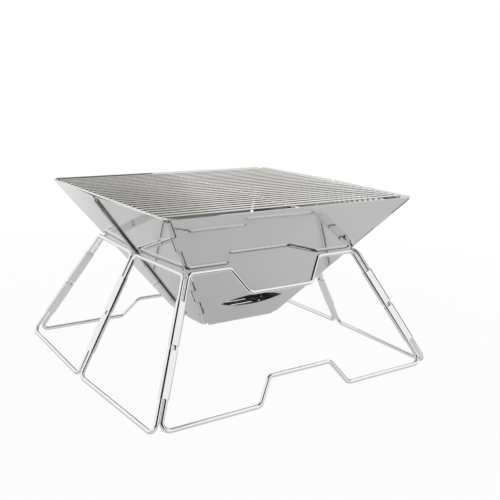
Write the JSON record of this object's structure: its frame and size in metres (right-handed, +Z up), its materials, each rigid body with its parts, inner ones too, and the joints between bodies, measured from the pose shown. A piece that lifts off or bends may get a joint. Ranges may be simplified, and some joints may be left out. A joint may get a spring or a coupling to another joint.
{
  "type": "folding camp grill",
  "caption": "Flat-folding camp grill: wire stand of hinged loops, hinged sheet-steel fire box that drops into its ring, slotted fire plate and lift-off wire grate.",
  "frame": {"origin": "on the ground under the middle of the opened grill", "axes": "+X to the right along the front plate, +Y from front to back, +Z up"},
  "size_m": [0.3977, 0.355, 0.2117],
  "materials": {
    "stand_wire": "bright drawn stainless wire",
    "sleeve_sheet": "bright pressed stainless sheet",
    "fire_box_sheet": "bright-annealed stainless sheet, near mirror",
    "hinge_pin": "bright drawn stainless rod",
    "fire_plate_sheet": "plain steel sheet",
    "grate_wire": "plated wire, warm silver"
  },
  "bodies": {
    "front_frame": {"front_frame": "stand_wire"},
    "left_front_loop": {"left_front_loop": "stand_wire", "front_left_sleeves": "sleeve_sheet"},
    "mid_left_sleeves": {"mid_left_sleeves": "sleeve_sheet"},
    "left_back_loop": {"left_back_loop": "stand_wire", "back_left_sleeves": "sleeve_sheet"},
    "back_frame": {"back_frame": "stand_wire", "back_right_clips": "sleeve_sheet"},
    "right_front_loop": {"right_front_loop": "stand_wire", "front_right_sleeves": "sleeve_sheet"},
    "mid_right_sleeves": {"mid_right_sleeves": "sleeve_sheet"},
    "right_back_loop": {"right_back_loop": "stand_wire"},
    "front_plate": {"front_plate": "fire_box_sheet", "front_left_pin": "hinge_pin", "front_right_pin": "hinge_pin"},
    "left_front_panel": {"left_front_panel": "fire_box_sheet", "mid_left_pin": "hinge_pin"},
    "left_back_panel": {"left_back_panel": "fire_box_sheet"},
    "back_plate": {"back_plate": "fire_box_sheet", "back_left_pin": "hinge_pin"},
    "right_front_panel": {"right_front_panel": "fire_box_sheet", "mid_right_pin": "hinge_pin"},
    "right_back_panel": {"right_back_panel": "fire_box_sheet", "back_right_pin": "hinge_pin"},
    "fire_plate": {"fire_plate": "fire_plate_sheet"},
    "grate": {"grate_rim": "grate_wire", "grate_bars": "grate_wire", "grate_cross_rod": "grate_wire"}
  },
  "joints": [
    {"name": "stand_fold", "type": "hinge", "parent": "front_frame", "child": "left_front_loop", "pos_m": [-0.1835, -0.175, 0.0025], "axis": [-0.4107, -0.3897, -0.8243], "range_deg": [0, 102.95]},
    {"name": "mid_left_sleeve_turn", "type": "hinge", "parent": "left_front_loop", "child": "mid_left_sleeves", "pos_m": [-0.19657, -0.0038, 0.0025], "axis": [0.4579, 0, 0.889], "range_deg": [0, 91.81]},
    {"name": "left_back_loop_turn", "type": "hinge", "parent": "mid_left_sleeves", "child": "left_back_loop", "pos_m": [-0.19657, 0.0038, 0.0025], "axis": [0.4579, 0, 0.889], "range_deg": [0, 91.81]},
    {"name": "back_frame_turn", "type": "hinge", "parent": "left_back_loop", "child": "back_frame", "pos_m": [-0.1835, 0.175, 0.0025], "axis": [-0.4107, 0.3897, -0.8243], "range_deg": [0, 102.95]},
    {"name": "right_front_loop_turn", "type": "hinge", "parent": "front_frame", "child": "right_front_loop", "pos_m": [0.1835, -0.175, 0.0025], "axis": [-0.4107, 0.3897, 0.8243], "range_deg": [0, 102.95]},
    {"name": "mid_right_sleeve_turn", "type": "hinge", "parent": "right_front_loop", "child": "mid_right_sleeves", "pos_m": [0.19657, -0.0038, 0.0025], "axis": [0.4579, 0, -0.889], "range_deg": [0, 91.81]},
    {"name": "right_back_loop_turn", "type": "hinge", "parent": "mid_right_sleeves", "child": "right_back_loop", "pos_m": [0.19657, 0.0038, 0.0025], "axis": [0.4579, 0, -0.889], "range_deg": [0, 91.11]},
    {"name": "fire_box_lift", "type": "slide", "parent": "front_frame", "child": "front_plate", "axis": [0, 0, 1], "range_m": [0, 0.1905]},
    {"name": "box_fold", "type": "hinge", "parent": "front_plate", "child": "left_front_panel", "pos_m": [-0.05, -0.039, 0.052], "axis": [0.5041, 0.5041, -0.7013], "range_deg": [0, 112.66]},
    {"name": "left_back_panel_turn", "type": "hinge", "parent": "left_front_panel", "child": "left_back_panel", "pos_m": [-0.05482, 0, 0.04989], "axis": [-0.6031, 0, 0.7977], "range_deg": [0, 184.75]},
    {"name": "back_plate_turn", "type": "hinge", "parent": "left_back_panel", "child": "back_plate", "pos_m": [-0.05, 0.039, 0.052], "axis": [0.5041, -0.5041, -0.7013], "range_deg": [0, 112.66]},
    {"name": "right_front_panel_turn", "type": "hinge", "parent": "front_plate", "child": "right_front_panel", "pos_m": [0.05, -0.039, 0.052], "axis": [0.5041, -0.5041, 0.7013], "range_deg": [0, 112.66]},
    {"name": "right_back_panel_turn", "type": "hinge", "parent": "right_front_panel", "child": "right_back_panel", "pos_m": [0.05482, 0, 0.04989], "axis": [-0.6031, 0, -0.7977], "range_deg": [0, 184.75]},
    {"name": "fire_plate_lift", "type": "slide", "parent": "front_plate", "child": "fire_plate", "axis": [0, 0, 1], "range_m": [0, 0.3705]},
    {"name": "grate_lift", "type": "slide", "parent": "fire_plate", "child": "grate", "axis": [0, 0, 1], "range_m": [0, 0.1]}
  ],
  "couplings": [
    {"joint": "mid_left_sleeve_turn", "follows": "stand_fold", "ratio": 0.89178},
    {"joint": "left_back_loop_turn", "follows": "stand_fold", "ratio": 0.89178},
    {"joint": "back_frame_turn", "follows": "stand_fold", "ratio": 1},
    {"joint": "right_front_loop_turn", "follows": "stand_fold", "ratio": 1},
    {"joint": "mid_right_sleeve_turn", "follows": "stand_fold", "ratio": 0.89178},
    {"joint": "right_back_loop_turn", "follows": "stand_fold", "ratio": 0.88498},
    {"joint": "fire_box_lift", "follows": "stand_fold", "m_per_rad": 0.10574},
    {"joint": "left_back_panel_turn", "follows": "box_fold", "ratio": 1.6398},
    {"joint": "back_plate_turn", "follows": "box_fold", "ratio": 1},
    {"joint": "right_front_panel_turn", "follows": "box_fold", "ratio": 1},
    {"joint": "right_back_panel_turn", "follows": "box_fold", "ratio": 1.6398},
    {"joint": "fire_plate_lift", "follows": "box_fold", "m_per_rad": 0.18817}
  ]
}
